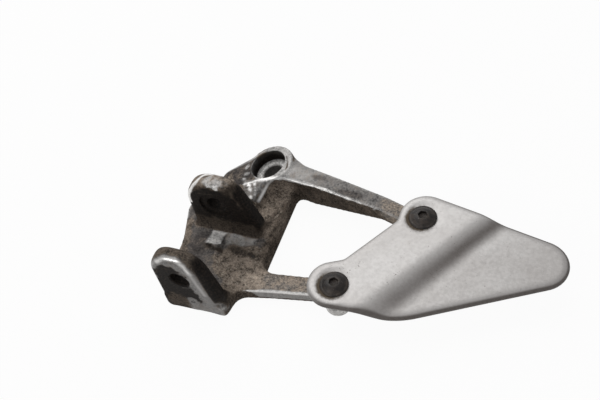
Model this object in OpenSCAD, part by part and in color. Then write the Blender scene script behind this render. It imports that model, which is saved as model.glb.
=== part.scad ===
// Motorcycle footrest hanger: one aluminium casting that bolts to the frame, carries the folding
// footrest between two lugs, and holds a heel guard plate at the ends of its two arms.
// X runs from the lugs towards the guard, Y along the footrest pin, Z away from the frame.
// The origin is the centre of the frame bolt's seat, on the bolt's axis.

/* [Footrest lugs] */
// Diameter of the footrest pin's hole
pin_hole_d = 10; // [6:0.5:12]
// Pin axis, measured from the frame bolt across the hanger
pin_x = -14.8; // [-20:0.1:-10]
// Pin axis, height above the back face
pin_rise = 27.5; // [22:0.5:32]
// Clear width between the lugs
lug_gap = 36.5; // [28:0.5:42]
// Thickness of each lug
lug_t = 9; // [8:0.5:12]
// Distance of the upper lug's inner face below the frame bolt
lug_drop = 40; // [38:0.5:46]
// Reach of the upper lug to the left of the pin
upper_lug_r = 15.8; // [13:0.2:18]
// Reach of the lower lug to the left of the pin
lower_lug_r = 14.2; // [11:0.2:16]
// Height of the upper lug over the pin
upper_lug_top = 17.5; // [15:0.5:19]
// Height of the lower lug over the pin
lower_lug_top = 17; // [14:0.5:19]
// Rounding of each lug's outer edge
lug_edge_r = 3.5; // [1:0.5:4]
// Rounding of the upper lug's inner edge
upper_lug_front_r = 3; // [0.5:0.5:3]
// Rounding of the lower lug's inner edge
lower_lug_back_r = 3.5; // [0.5:0.5:4]
// Diameter of the machined seat inside the upper lug
lug_seat_d = 18; // [14:0.5:22]
// Depth of that seat
lug_seat_depth = 1; // [0.5:0.1:2]

/* [Frame bolt boss] */
// Diameter of the frame bolt's hole
bolt_hole_d = 10.5; // [8:0.5:12]
// Length of that hole's wall, from the frame to the bolt head
bolt_wall = 7.5; // [5:0.5:8]
// Lean of the bolt's axis towards the lugs, in degrees
bolt_lean = 14; // [0:1:16]
// Diameter of the pocket for the bolt's head
head_pocket_d = 19.5; // [16:0.5:21]
// Depth of that pocket
head_pocket_depth = 6.8; // [4:0.2:8]
// Diameter of the boss
boss_d = 26; // [24:0.5:30]
// Diameter of the seat on the frame side
frame_seat_d = 22; // [18:0.5:23]

/* [Web and arms] */
// Thickness of the web and of the lower arm
web_t = 8; // [6:0.5:10]
// Slope of the window's wall in the web
wall_draft = 2.3; // [0:0.1:3]
// How far the web's free corner runs past the lower lug
base_flare = 1.2; // [0:0.2:2]
// Width of the lower arm
lower_arm_w = 10.5; // [8:0.5:12]
// Width of the upper arm where it leaves the boss
upper_arm_w = 11.6; // [9:0.2:13]
// Width of the upper arm at the guard
upper_arm_end_w = 9.4; // [7:0.2:11]
// Depth of the upper arm's end, below the guard
upper_arm_end_t = 9; // [8:0.5:12]
// Diameter of the lower screw post
post_d = 13; // [11:0.5:15]
// Diameter of the upper screw pad
pad_d = 18; // [14:0.5:20]
// Radius of the cast fillets at the lug roots
root_fillet_r = 3.5; // [1:0.5:5]

/* [Heel guard] */
// Thickness of the guard plate
guard_t = 4; // [3:0.2:5]
// Height of the guard's back above the hanger's back face
guard_rise = 18; // [16:0.5:22]
// Rounding of the guard's edges
guard_edge_r = 1.8; // [0.4:0.1:1.9]
// Step down of the guard behind its crease
crease_drop = 3; // [1:0.5:5]
// Width of the crease
crease_w = 11; // [8:1:16]
// Diameter of the dished seat round each screw
dish_d = 17; // [15:0.5:19]
// Depth of that seat
dish_depth = 0.8; // [0.2:0.1:1.2]
// Upper guard screw, measured from the frame bolt along X
upper_screw_x = 87.2; // [80:0.1:92]
// Upper guard screw, measured from the frame bolt along Y
upper_screw_y = -17.5; // [-20:0.1:-15]
// Lower guard screw, measured from the frame bolt along X
lower_screw_x = 56.9; // [54:0.1:62]
// Lower guard screw, measured from the frame bolt along Y
lower_screw_y = -65; // [-67:0.1:-62]

/* [Guard screws] */
// Thread diameter
screw_d = 6; // [5:1:6]
// Length under the head
screw_len = 12; // [10:1:14]
// Diameter of the head's flange
flange_d = 14; // [12:0.5:14.5]
// Thickness of the flange
flange_t = 1.2; // [0.6:0.1:1.6]
// Diameter of the button head
button_d = 11.6; // [10:0.2:12]
// Height of the head over all
button_h = 3.4; // [2.8:0.1:4]
// Width of the hexagon socket across its flats
socket_af = 4; // [3:0.5:5]
// Depth of the socket
socket_depth = 2.2; // [1.5:0.1:2.4]
// Clearance round the shank
screw_clearance = 0.1; // [0.05:0.05:0.2]

/* [Hidden] */
$fn = 48;
cast_colour = "#6b635c";
guard_colour = "#a9a8ab";
screw_colour = "#1d1b1a";
proud = 1;                                     // how far a cutter runs past the face that it cuts
seat_rise = frame_seat_d / 2 * sin(bolt_lean) + 0.3;
back_z = -seat_rise;                           // the hanger's back face
web_top = back_z + web_t;
pin_z = back_z + pin_rise;
upper_lug_y = -lug_drop + lug_t;               // outer face of the upper lug
lower_lug_y = -lug_drop - lug_gap;             // inner face of the lower lug
lower_end_y = lower_lug_y - lug_t;
guard_z = back_z + guard_rise;                 // back of the guard
seat_z = guard_z + guard_t - dish_depth;       // where the screw heads seat
pocket_floor = bolt_wall;                      // along the bolt's axis, from the frame seat
boss_top = bolt_wall + head_pocket_depth;
window_x = 15.2;                               // right edge of the web, at the back
left_x = pin_x - lower_lug_r;
arm_y = lower_screw_y + 1.4;                   // near edge of the lower arm, at the guard
arm_dip = 6.2;                                 // how far that edge lies lower at the web
shoulder = [-19.5, -8.5];                      // centre of the shoulder beside the upper lug
shoulder_r = 6.5;
edge_sides = 12;                               // facets round the guard's rounded edge
edge_rise = guard_edge_r * cos(180 / edge_sides); // what that faceted rounding really adds on each face

function unit(v) = v / norm(v);
function flat(p) = [p.x, p.y];
// The arc that rounds corner b, between its neighbours a and c
function corner_arc(a, b, c, r, steps) =
    let (
        u = unit(a - b),
        w = unit(c - b),
        half = acos(u * w) / 2,
        centre = b + unit(u + w) * r / sin(half),
        from = b + u * r / tan(half) - centre,
        to = b + w * r / tan(half) - centre,
        start = atan2(from.y, from.x),
        turn = (atan2(to.y, to.x) - start + 540) % 360 - 180
    )
    [for (i = [0:steps]) centre + r * [cos(start + turn * i / steps), sin(start + turn * i / steps)]];
// An outline from corners [x, y, radius]
function rounded(corners, steps = 8) = [
    for (i = [0:len(corners) - 1])
        let (
            b = corners[i],
            a = corners[(i + len(corners) - 1) % len(corners)],
            c = corners[(i + 1) % len(corners)]
        )
        each (b.z > 0 ? corner_arc(flat(a), flat(b), flat(c), b.z, steps) : [flat(b)])
];

// Turns its children to stand on the frame bolt's axis
module along_bolt() rotate([0, -bolt_lean, 0]) children();

// Extrudes an X-Z profile along Y, from y1 up to y2
module across(y1, y2) translate([0, y2, 0]) rotate([90, 0, 0]) linear_extrude(y2 - y1) children();

// The web, with the roots of both arms
web_outline = [
    [left_x - 0.8, lower_end_y - base_flare, 4.5],
    [window_x - 19, lower_end_y, 8],
    [window_x - 10.9, lower_end_y - 0.3, 2.5],
    [window_x - 8.9, lower_lug_y + 3, 7],
    [window_x + 7.6, arm_y - arm_dip, 20],
    [lower_screw_x, arm_y, 2],
    [lower_screw_x, lower_screw_y + post_d / 2, 2],
    [window_x + 25.6, arm_y + lower_arm_w - 3.4, 14],
    [window_x, arm_y + lower_arm_w - arm_dip - 0.8, 5],
    [window_x, -6.5, 3.5],
    [2, boss_d / 2 - 4, 4],
    [-22, 3, 6],
    [pin_x - upper_lug_r - 9.2, -lug_drop + lug_t, 5],
    [pin_x - upper_lug_r - 3.4, -lug_drop - 10.5, 35]
];
module web() {
    difference() {
        translate([0, 0, back_z]) linear_extrude(web_t) polygon(rounded(web_outline));
        // the window's wall slopes, as the core that cast it did
        across(arm_y + lower_arm_w - arm_dip + 1, -boss_d / 2 + 4) polygon([
            [window_x, back_z],
            [window_x + proud, back_z],
            [window_x + proud, web_top + proud],
            [window_x - wall_draft * (1 + proud / web_t), web_top + proud]
        ]);
    }
}

// One footrest lug between y1 and y2: r is its reach to the left of the pin, top its height over
// the pin, left_r the radius of its free corner, root the reach of its root to the right of the pin.
// low_r and high_r round its edges at y1 and y2.
module lug(y1, y2, r, top, left_r, root, low_r, high_r) {
    outline = [
        [pin_x - r, back_z + 0.5, 1.2],
        [pin_x - r, pin_z + top, left_r],
        [pin_x + 12.8, pin_z + top, 12.5],
        [pin_x + root, back_z + 14, 8],
        [pin_x + root, back_z + 0.5, 1.2]
    ];
    hull() for (a = [0:30:90]) {
        rounded_slab(outline, y1 + low_r * (1 - sin(a)), (y1 + y2) / 2, low_r * (1 - cos(a)));
        rounded_slab(outline, (y1 + y2) / 2, y2 - high_r * (1 - sin(a)), high_r * (1 - cos(a)));
    }
}
// A slice of a lug, its outline drawn in by inset
module rounded_slab(outline, y1, y2, inset)
    across(y1, y2) translate([-0.7 * inset, 0]) offset(delta = -inset) polygon(rounded(outline));

// Concave fillet along X at a lug's root: up is the side of the lug that it lies on
module root_fillet(x1, x2, y, up) {
    translate([x1, y, web_top - 0.2]) rotate([90, 0, 90]) linear_extrude(x2 - x1) scale([up, 1])
        difference() {
            translate([-0.2, -0.2]) square(root_fillet_r + 0.4);
            translate([root_fillet_r + 0.2, root_fillet_r + 0.2]) circle(root_fillet_r);
        }
}

// The leaning boss round the frame bolt, with the shoulder that runs down beside the upper lug
module boss() {
    hull() {
        along_bolt() translate([1, 0.5, boss_top - 8]) cylinder(d = boss_d, h = 8, $fn = 32);
        translate([1, 0.5, back_z]) cylinder(d = boss_d, h = web_t, $fn = 32);
    }
    hull() {
        along_bolt() translate([-3, -2, boss_top - 8]) cylinder(d = boss_d - 4, h = 7.4, $fn = 32);
        translate([-3, -2, back_z]) cylinder(d = boss_d - 4, h = web_t, $fn = 32);
        along_bolt() translate([shoulder.x, shoulder.y, boss_top - 9]) cylinder(r = shoulder_r, h = 7.5, $fn = 32);
        translate([shoulder.x - 3, shoulder.y, back_z]) cylinder(r = shoulder_r, h = web_t, $fn = 32);
        along_bolt() translate([-12, -13, boss_top - 8]) cylinder(r = 6, h = 7, $fn = 32);
    }
}

// The slope that falls from the boss to the web, ended by a rib, and the hollow beside it
module boss_slopes() {
    hull() {
        along_bolt() translate([-12, -14, boss_top - 8]) cylinder(r = 4, h = 7.4, $fn = 24);
        along_bolt() translate([3.5, -8.5, boss_top - 7]) cylinder(r = 1.6, h = 6.9, $fn = 24);
        translate([-12, -28, web_top - 2]) cylinder(r = 4, h = 2.6, $fn = 24);
        translate([-1, -21, web_top - 2]) cylinder(r = 1.2, h = 3.8, $fn = 24);
    }
    hull() {
        translate([1, -6.6, back_z]) cylinder(r = 1.5, h = guard_rise - 2.4, $fn = 24);
        translate([window_x - 3.4, -5.6, back_z]) cylinder(r = 1.5, h = guard_rise - 2.2, $fn = 24);
        translate([1, -12.5, back_z]) cylinder(r = 2, h = web_t + 0.6, $fn = 24);
        translate([window_x - 4.4, -10.5, back_z]) cylinder(r = 2, h = web_t + 0.6, $fn = 24);
    }
}

// The upper arm: its outline from above, cut to its side view, and its root that rises to the boss's mouth
module upper_arm() {
    top_z = guard_z - 0.8;
    hull() {
        along_bolt() translate([6.8, -2.6, boss_top - 5]) cylinder(r = 6.2, h = 4.6, $fn = 32);
        translate([window_x + 12, -4.2, back_z + 8]) cylinder(r = 4.4, h = top_z - back_z - 9, $fn = 32);
    }
    intersection() {
        translate([0, 0, back_z]) linear_extrude(guard_rise) polygon(rounded([
            [0, -8, 0],
            [window_x + 3, -7.4, 10],
            [upper_screw_x - 22, upper_screw_y + 1.8, 20],
            [upper_screw_x, upper_screw_y - upper_arm_end_w / 2, 2],
            [upper_screw_x, upper_screw_y + upper_arm_end_w / 2, 2],
            [upper_screw_x - 22, upper_screw_y + 1.8 + upper_arm_end_w, 20],
            [window_x + 1, -7.4 + upper_arm_w, 10],
            [2, 12, 0]
        ]));
        across(-60, 40) polygon([
            [-5, back_z - proud],
            [window_x + 9, back_z],
            [upper_screw_x - 22, guard_z - upper_arm_end_t],
            [upper_screw_x + 10, guard_z - upper_arm_end_t],
            [upper_screw_x + 10, top_z],
            [window_x + 30, top_z],
            [window_x, top_z - 0.6],
            [-5, top_z - 0.8]
        ]);
    }
}

// The pads that the guard is screwed to
module screw_pads() {
    translate([lower_screw_x, lower_screw_y, back_z]) {
        cylinder(d1 = post_d - 4, d2 = post_d, h = 2);
        translate([0, 0, 2]) cylinder(d = post_d, h = guard_rise - 2);
    }
    translate([upper_screw_x, upper_screw_y, guard_z - upper_arm_end_t])
        cylinder(d = pad_d, h = upper_arm_end_t);
}

// The places of the two guard screws
module at_screws() {
    translate([upper_screw_x, upper_screw_y, 0]) children();
    translate([lower_screw_x, lower_screw_y, 0]) children();
}

module hanger_casting() color(cast_colour) {
    difference() {
        union() {
            web();
            lug(-lug_drop, upper_lug_y, upper_lug_r, upper_lug_top, 16, 22.5, upper_lug_front_r, lug_edge_r);
            lug(lower_end_y, lower_lug_y, lower_lug_r, lower_lug_top, 12, 19, lug_edge_r, lower_lug_back_r);
            boss();
            boss_slopes();
            upper_arm();
            screw_pads();
            root_fillet(pin_x - upper_lug_r + 1, pin_x + 19, -lug_drop, -1);
            root_fillet(left_x + 1, pin_x + 17, lower_lug_y, 1);
        }
        across(lower_end_y - proud, upper_lug_y + proud) translate([pin_x, pin_z]) circle(d = pin_hole_d);
        across(-lug_drop - proud, -lug_drop + lug_seat_depth) translate([pin_x, pin_z]) circle(d = lug_seat_d);
        along_bolt() translate([0, 0, -proud]) cylinder(d = bolt_hole_d, h = boss_top + 4);
        along_bolt() translate([0, 0, pocket_floor]) cylinder(d = head_pocket_d, h = head_pocket_depth + 6);
        along_bolt() translate([0, 0, -10]) cylinder(d = frame_seat_d, h = 10);
        at_screws() translate([0, 0, back_z - proud])
            cylinder(d = screw_d + 2 * screw_clearance, h = guard_rise + 2 * proud);
    }
}

// The guard's outline
guard_outline = [
    [43.3, -78.1, 12.5],
    [89.6, -73.4, 43],
    [183, -21.8, 12.8],
    [75.3, -0.4, 13],
    [75.3, -21.6, 5],
    [56.8, -49.9, 6],
    [43.3, -56.5, 12]
];
crease_foot = [77.9, -72.7];                   // where the crease's middle meets the lower edge
crease_angle = 56.3;                           // its direction from X
// Height of the guard's middle at a distance across the crease
function crease_z(s) = s <= 0 ? 0 : s >= crease_w ? -crease_drop : -crease_drop * (1 - cos(180 * s / crease_w)) / 2;

// The guard's core: the outline cut from a sheet that steps down at the crease
module guard_core() {
    core_t = guard_t - 2 * edge_rise;
    line = [for (s = [0:crease_w / 8:crease_w]) [s - crease_w / 2, crease_z(s)]];
    sheet = concat([[-150, 0]], line, [[150, -crease_drop]]);
    intersection() {
        translate([crease_foot.x, crease_foot.y, 0]) rotate([0, 0, crease_angle])
            translate([150, 0, 0]) rotate([90, 0, -90]) linear_extrude(300) polygon(concat(
                sheet, [for (i = [len(sheet) - 1:-1:0]) sheet[i] + [0, core_t]]
            ));
        translate([0, 0, -crease_drop - proud]) linear_extrude(crease_drop + core_t + 2 * proud)
            offset(delta = -guard_edge_r) polygon(rounded(guard_outline));
    }
}

module heel_guard() color(guard_colour) {
    difference() {
        translate([0, 0, guard_z + edge_rise]) minkowski() {
            guard_core();
            sphere(r = guard_edge_r, $fn = edge_sides);
        }
        at_screws() translate([0, 0, seat_z]) cylinder(d = dish_d, h = dish_depth + proud);
        at_screws() translate([0, 0, guard_z - proud])
            cylinder(d = screw_d + 2 * screw_clearance, h = guard_t + 2 * proud);
    }
}

// Button-head screw with a flange, its head seated at z = 0
module button_screw() color(screw_colour) {
    crown = button_h - flange_t;
    dome_r = (pow(button_d / 2, 2) + crown * crown) / (2 * crown);
    difference() {
        union() {
            translate([0, 0, -screw_len]) cylinder(d = screw_d, h = screw_len);
            cylinder(d = flange_d, h = flange_t);
            intersection() {
                cylinder(d = button_d, h = button_h);
                translate([0, 0, button_h - dome_r]) sphere(r = dome_r);
            }
        }
        translate([0, 0, button_h - socket_depth])
            cylinder(d = socket_af / cos(30), h = socket_depth + proud, $fn = 6);
    }
}

module upper_guard_screw() translate([upper_screw_x, upper_screw_y, seat_z]) button_screw();
module lower_guard_screw() translate([lower_screw_x, lower_screw_y, seat_z]) button_screw();

hanger_casting();
heel_guard();
upper_guard_screw();
lower_guard_screw();
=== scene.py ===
# Motorcycle footrest hanger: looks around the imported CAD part
import bpy
import bmesh
import math
import numpy as np
from mathutils import Matrix, Vector, noise


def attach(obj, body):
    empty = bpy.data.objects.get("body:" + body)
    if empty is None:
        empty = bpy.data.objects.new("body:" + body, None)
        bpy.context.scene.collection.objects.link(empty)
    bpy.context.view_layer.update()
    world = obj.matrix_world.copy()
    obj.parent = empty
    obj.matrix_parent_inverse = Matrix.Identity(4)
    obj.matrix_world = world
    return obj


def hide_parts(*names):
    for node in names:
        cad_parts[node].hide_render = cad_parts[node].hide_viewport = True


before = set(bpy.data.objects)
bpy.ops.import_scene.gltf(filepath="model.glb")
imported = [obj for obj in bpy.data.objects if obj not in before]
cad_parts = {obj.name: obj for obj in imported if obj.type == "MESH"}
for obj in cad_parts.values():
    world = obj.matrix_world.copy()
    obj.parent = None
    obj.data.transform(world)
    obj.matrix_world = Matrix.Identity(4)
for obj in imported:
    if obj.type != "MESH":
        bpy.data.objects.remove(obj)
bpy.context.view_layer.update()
mm = 0.001
print("frame loaded:", sorted(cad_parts))


# small helpers for node trees and meshes

def addNode(tree, kind, inputs=None, **settings):
    node = tree.nodes.new(kind)
    for name, value in settings.items():
        setattr(node, name, value)
    for key, value in (inputs or {}).items():
        plug(tree, node.inputs[key], value)
    return node


def plug(tree, socket, value):
    if isinstance(value, bpy.types.NodeSocket):
        tree.links.new(value, socket)
    else:
        socket.default_value = value


def sums(tree, operation, a, b=0.0, c=0.0, clamp=False):
    given = {0: a, 1: b, 2: c}
    return addNode(tree, "ShaderNodeMath", given, operation=operation, use_clamp=clamp).outputs[0]


def vectors(tree, operation, a, b, result=0):
    return addNode(tree, "ShaderNodeVectorMath", {0: a, 1: b}, operation=operation).outputs[result]


def scaled(tree, a, factor):
    return addNode(tree, "ShaderNodeVectorMath", {0: a, "Scale": factor}, operation="SCALE").outputs[0]


def stretch(tree, value, low, high, toLow=0.0, toHigh=1.0, kind="SMOOTHSTEP"):
    spread = {0: value, 1: low, 2: high, 3: toLow, 4: toHigh}
    return addNode(tree, "ShaderNodeMapRange", spread, interpolation_type=kind).outputs[0]


def blendColour(tree, factor, a, b):
    return addNode(tree, "ShaderNodeMix", {0: factor, 6: a, 7: b}, data_type="RGBA").outputs[2]


def blendValue(tree, factor, a, b):
    return addNode(tree, "ShaderNodeMix", {0: factor, 2: a, 3: b}, data_type="FLOAT").outputs[0]


def grain(tree, place, scale, detail, rough):
    spread = {"Vector": place, "Scale": scale, "Detail": detail, "Roughness": rough}
    return addNode(tree, "ShaderNodeTexNoise", spread).outputs[0]


def paint(tree, name):
    return addNode(tree, "ShaderNodeAttribute", attribute_name=name).outputs["Fac"]


def newMaterial(name):
    material = bpy.data.materials.new(name)
    material.use_nodes = True
    tree = material.node_tree
    return material, tree, tree.nodes["Principled BSDF"]


def addRelief(tree, shader, height, strength, deep):
    bump = {"Height": height, "Strength": strength, "Distance": deep * mm}
    plug(tree, shader.inputs["Normal"], addNode(tree, "ShaderNodeBump", bump).outputs[0])


def startTree(name, inputs):
    # a Geometry Nodes tree with the inputs given as name, kind of socket and value
    tree = bpy.data.node_groups.new(name, "GeometryNodeTree")
    for title, kind, value in (("Geometry", "Geometry", None), *inputs, ("Material", "Material", None)):
        socket = tree.interface.new_socket(title, in_out="INPUT", socket_type="NodeSocket" + kind)
        if value is not None:
            socket.default_value = value
    tree.interface.new_socket("Geometry", in_out="OUTPUT", socket_type="NodeSocketGeometry")
    return tree, addNode(tree, "NodeGroupInput").outputs


def endTree(tree, shape, material):
    real = addNode(tree, "GeometryNodeRealizeInstances", {0: shape}).outputs[0]
    ready = addNode(tree, "GeometryNodeSetMaterial", {"Geometry": real, "Material": material}).outputs[0]
    addNode(tree, "NodeGroupOutput", {0: ready})


def newPiece(name, mesh):
    piece = bpy.data.objects.new(name, mesh)
    bpy.context.scene.collection.objects.link(piece)
    return piece


def settle(piece):
    # turns what the modifiers show into the piece's own mesh
    bpy.context.view_layer.update()
    shown = piece.evaluated_get(bpy.context.evaluated_depsgraph_get())
    mesh = bpy.data.meshes.new_from_object(shown)
    piece.modifiers.clear()
    old = piece.data
    piece.data = mesh
    bpy.data.meshes.remove(old)


def modify(piece, kind, **settings):
    modifier = piece.modifiers.new(kind.lower(), kind)
    for name, value in settings.items():
        setattr(modifier, name, value)


def ringSkin(mesh, rings, sides, place=Matrix.Identity(4)):
    # closed skin through rings of (radius or radius function, height), capped at both ends
    rows = []
    for radius, height in rings:
        row = []
        for i in range(sides):
            angle = 2 * math.pi * i / sides
            reach = radius(angle) if callable(radius) else radius
            point = Vector((reach * math.cos(angle), reach * math.sin(angle), height)) * mm
            row.append(mesh.verts.new(place @ point))
        rows.append(row)
    for low, high in zip(rows, rows[1:]):
        for i in range(sides):
            k = (i + 1) % sides
            mesh.faces.new((low[i], low[k], high[k], high[i]))
    mesh.faces.new(rows[0][::-1])
    mesh.faces.new(rows[-1])


def meshArrays(mesh):
    places = np.empty(len(mesh.vertices) * 3, np.float32)
    mesh.vertices.foreach_get("co", places)
    normals = np.empty(len(mesh.vertices) * 3, np.float32)
    mesh.vertex_normals.foreach_get("vector", normals)
    return places.reshape(-1, 3), normals.reshape(-1, 3)


def setPaint(mesh, name, values):
    layer = mesh.attributes.new(name, "FLOAT", "POINT")
    layer.data.foreach_set("value", np.clip(values, 0, 1).astype(np.float32))


def bumpiness(mesh, passes):
    # how far each point lies under the smoothed surface: positive in hollows, negative on edges, in mm
    places, normals = meshArrays(mesh)
    edges = np.empty(len(mesh.edges) * 2, np.int32)
    mesh.edges.foreach_get("vertices", edges)
    a, b = edges.reshape(-1, 2).T
    count = np.bincount(a, minlength=len(places)) + np.bincount(b, minlength=len(places))
    count = np.maximum(count, 1)[:, None]
    smooth = places.astype(np.float64)
    for step in range(passes):
        total = np.zeros_like(smooth)
        for axis in range(3):
            total[:, axis] = np.bincount(a, smooth[b, axis], len(places))
            total[:, axis] += np.bincount(b, smooth[a, axis], len(places))
        smooth = 0.5 * smooth + 0.5 * total / count
    return ((smooth - places) * normals).sum(1) / mm


def wobble(places, size, seed):
    # soft noise from -1 to 1 at each point, its lumps about size mm across
    offset = Vector((seed * 7.3, seed * 3.1, seed * 5.7))
    scale = 1 / (size * mm)
    return np.array([noise.noise(Vector(p) * scale + offset) for p in places.tolist()])


# camera at the photo's viewing angle

photoView = {
    "focal": 860.0,                  # in pixels of the photo's 600 px frame
    "frameWidth": 600.0,
    "sensor": 36.0,
    "place": (163.09, -253.59, 365.85),
    "turn": (37.0825, 8.4423, 20.0074),
}


def buildCamera(v):
    lens = bpy.data.cameras.new("photoCamera")
    lens.sensor_width = v["sensor"]
    lens.sensor_fit = "HORIZONTAL"
    lens.lens = v["focal"] / v["frameWidth"] * v["sensor"]
    lens.clip_start = 0.01
    lens.clip_end = 20
    camera = bpy.data.objects.new("photoCamera", lens)
    camera.location = Vector(v["place"]) * mm
    camera.rotation_euler = [math.radians(a) for a in v["turn"]]
    bpy.context.scene.collection.objects.link(camera)
    bpy.context.scene.camera = camera


buildCamera(photoView)
print("camera set")


# the hanger casting

castingForm = {
    "voxel": 0.6,                    # mm
    "fillet": 2.4,                   # radius of the cast fillets
    "smoothing": 5,
    "pinX": -14.8, "pinZ": 24.54, "pinHole": 5.0,
    "upperLug": (-40.0, -31.0),      # inner and outer face
    "lowerLug": (-76.5, -85.5),
    "lugSeat": 9.0, "lugSeatDepth": 1.0,
    "boltLean": 14.0, "boltHole": 5.25, "boltWall": 7.5,
    "pocket": 9.75, "bossTop": 14.3,
    "frameSeat": 11.0,
    "backZ": -2.96, "guardZ": 15.04,
    "screws": ((87.2, -17.5), (56.9, -65.0)), "screwHole": 3.1,
    "padUnder": 6.04,
}


def alongY(x, z):
    # a frame whose height runs along Y, centred on the footrest pin
    return Matrix.Translation(Vector((x, 0, z)) * mm) @ Matrix.Rotation(math.radians(-90), 4, "X")


def leaning(c):
    return Matrix.Rotation(math.radians(-c["boltLean"]), 4, "Y")


def addPlugs(mesh, c):
    # fills the machined holes, so that the casting can be rounded before they are cut again
    slack = 0.15
    pin = alongY(c["pinX"], c["pinZ"])
    inner, outer = c["upperLug"]
    ringSkin(mesh, [(c["lugSeat"] + slack, inner + 0.02), (c["lugSeat"] + slack, inner + 4)], 48, pin)
    ringSkin(mesh, [(c["pinHole"] + slack, inner + 3), (c["pinHole"] + slack, outer - 0.02)], 48, pin)
    inner, outer = c["lowerLug"]
    ringSkin(mesh, [(c["pinHole"] + slack, outer + 0.02), (c["pinHole"] + slack, inner - 0.02)], 48, pin)
    bolt = [(c["boltHole"] + slack, 0.4), (c["boltHole"] + slack, c["boltWall"] + 1)]
    ringSkin(mesh, bolt, 48, leaning(c))
    pocket = [(c["pocket"] + slack, c["boltWall"] - 0.5), (c["pocket"] + slack, c["bossTop"] - 0.02)]
    ringSkin(mesh, pocket, 64, leaning(c))
    for (x, y), foot in zip(c["screws"], (c["padUnder"], c["backZ"])):
        at = Matrix.Translation(Vector((x, y, 0)) * mm)
        rings = [(c["screwHole"] + slack, foot + 0.02), (c["screwHole"] + slack, c["guardZ"] - 0.02)]
        ringSkin(mesh, rings, 32, at)


def buildCutters(c):
    mesh = bmesh.new()
    top, wall = c["bossTop"], c["boltWall"]
    hole, pocket = c["boltHole"], c["pocket"]
    ringSkin(mesh, [
        (hole, -4), (hole, wall - 1.1), (hole + 1.1, wall), (pocket - 0.6, wall), (pocket - 0.15, wall + 0.2),
        (pocket, wall + 0.7), (pocket, top - 0.6), (pocket + 0.2, top - 0.15), (pocket + 0.9, top + 0.45),
        (pocket + 2, top + 3),
    ], 96, leaning(c))
    ringSkin(mesh, [(c["frameSeat"], -9), (c["frameSeat"], 0)], 96, leaning(c))
    pin = alongY(c["pinX"], c["pinZ"])
    r = c["pinHole"]
    inner, outer = c["lowerLug"]
    ringSkin(mesh, [
        (r + 1.6, outer - 1), (r + 0.6, outer), (r, outer + 0.6),
        (r, inner - 0.6), (r + 0.6, inner), (r + 1.6, inner + 1),
    ], 64, pin)
    inner, outer = c["upperLug"]
    seat, deep = c["lugSeat"], inner + c["lugSeatDepth"]
    ringSkin(mesh, [
        (seat + 0.5, inner - 3), (seat + 0.2, inner - 0.1), (seat, inner + 0.2), (seat - 0.3, deep),
        (r + 0.5, deep), (r, deep + 0.5), (r, outer - 0.6), (r + 0.6, outer), (r + 1.6, outer + 1),
    ], 64, pin)
    for (x, y), foot in zip(c["screws"], (c["padUnder"], c["backZ"])):
        at = Matrix.Translation(Vector((x, y, 0)) * mm)
        s = c["screwHole"]
        ringSkin(mesh, [(s + 1, foot - 0.5), (s + 0.5, foot), (s, foot + 0.5), (s, c["guardZ"] + 1)], 48, at)
    bmesh.ops.recalc_face_normals(mesh, faces=mesh.faces)
    cutters = bpy.data.meshes.new("machinedCuts")
    mesh.to_mesh(cutters)
    mesh.free()
    return newPiece("machinedCuts", cutters)


def buildCasting(c):
    source = bmesh.new()
    source.from_mesh(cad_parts["hanger_casting"].data)
    bmesh.ops.remove_doubles(source, verts=source.verts, dist=1e-6)
    addPlugs(source, c)
    blank = bpy.data.meshes.new("hangerCasting")
    source.to_mesh(blank)
    source.free()
    piece = newPiece("hangerCasting", blank)
    voxel = c["voxel"] * mm
    # swelling and shrinking again fills each inner corner with a cast fillet
    modify(piece, "REMESH", mode="VOXEL", voxel_size=voxel)
    modify(piece, "DISPLACE", direction="NORMAL", mid_level=0.0, strength=c["fillet"] * mm)
    modify(piece, "REMESH", mode="VOXEL", voxel_size=voxel)
    modify(piece, "SMOOTH", factor=0.5, iterations=2)
    modify(piece, "DISPLACE", direction="NORMAL", mid_level=0.0, strength=-c["fillet"] * mm)
    modify(piece, "REMESH", mode="VOXEL", voxel_size=voxel)
    modify(piece, "SMOOTH", factor=0.5, iterations=c["smoothing"])
    settle(piece)
    cutters = buildCutters(c)
    modify(piece, "BOOLEAN", operation="DIFFERENCE", solver="EXACT", object=cutters)
    settle(piece)
    bpy.data.objects.remove(cutters)
    return piece


castingPaint = {
    "restFilm": 0.16, "filmSwing": 0.06,         # where no stroke says otherwise
    "restDepth": 0.62, "depthSwing": 0.12,
    # painted shade: how much darker walls are than what faces up
    "wallShade": 0.22, "wallSlope": (0.25, 0.7),
    "waverLumps": (3.0, 1.2), "wideLumps": 14.0, # mm across
    "passes": 5,                                 # of smoothing, to find edges and hollows
    "edge": 0.10, "edgeFrom": 0.35,              # mm of roundness that counts as worn, and the share left unworn
    "restWear": 0.12, "cleanWear": 0.6, "wornFilm": 0.8,
    "hollow": (0.04, 0.16),                      # mm of hollowness over which dirt and painted shade collect
    "hollowDirt": 0.8, "hollowShade": 0.25,
    "pocketFilm": 0.10, "pocketDirt": 0.15, "floorFilm": 0.26, "ringHighlight": 0.7,
    "floorHighlights": ((6.1, 0.55, 1.0), (8.2, 0.4, 0.7)),   # radius, width and strength of the painted highlights on the pocket's floor
}


def stroke(shape, at, size, soft, waver=0.0, x=None, y=None, z=None, facing=None, **sets):
    # shape: a line of points and its width, an outline of corners and its plane, or a spot and its reach each way
    # soft: the width of its edge; waver: how far that edge wanders; x, y, z: where it stops, all in mm
    return {"shape": shape, "at": at, "size": size, "soft": soft, "waver": waver, "limits": (x, y, z),
            "facing": facing, "sets": sets}
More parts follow.
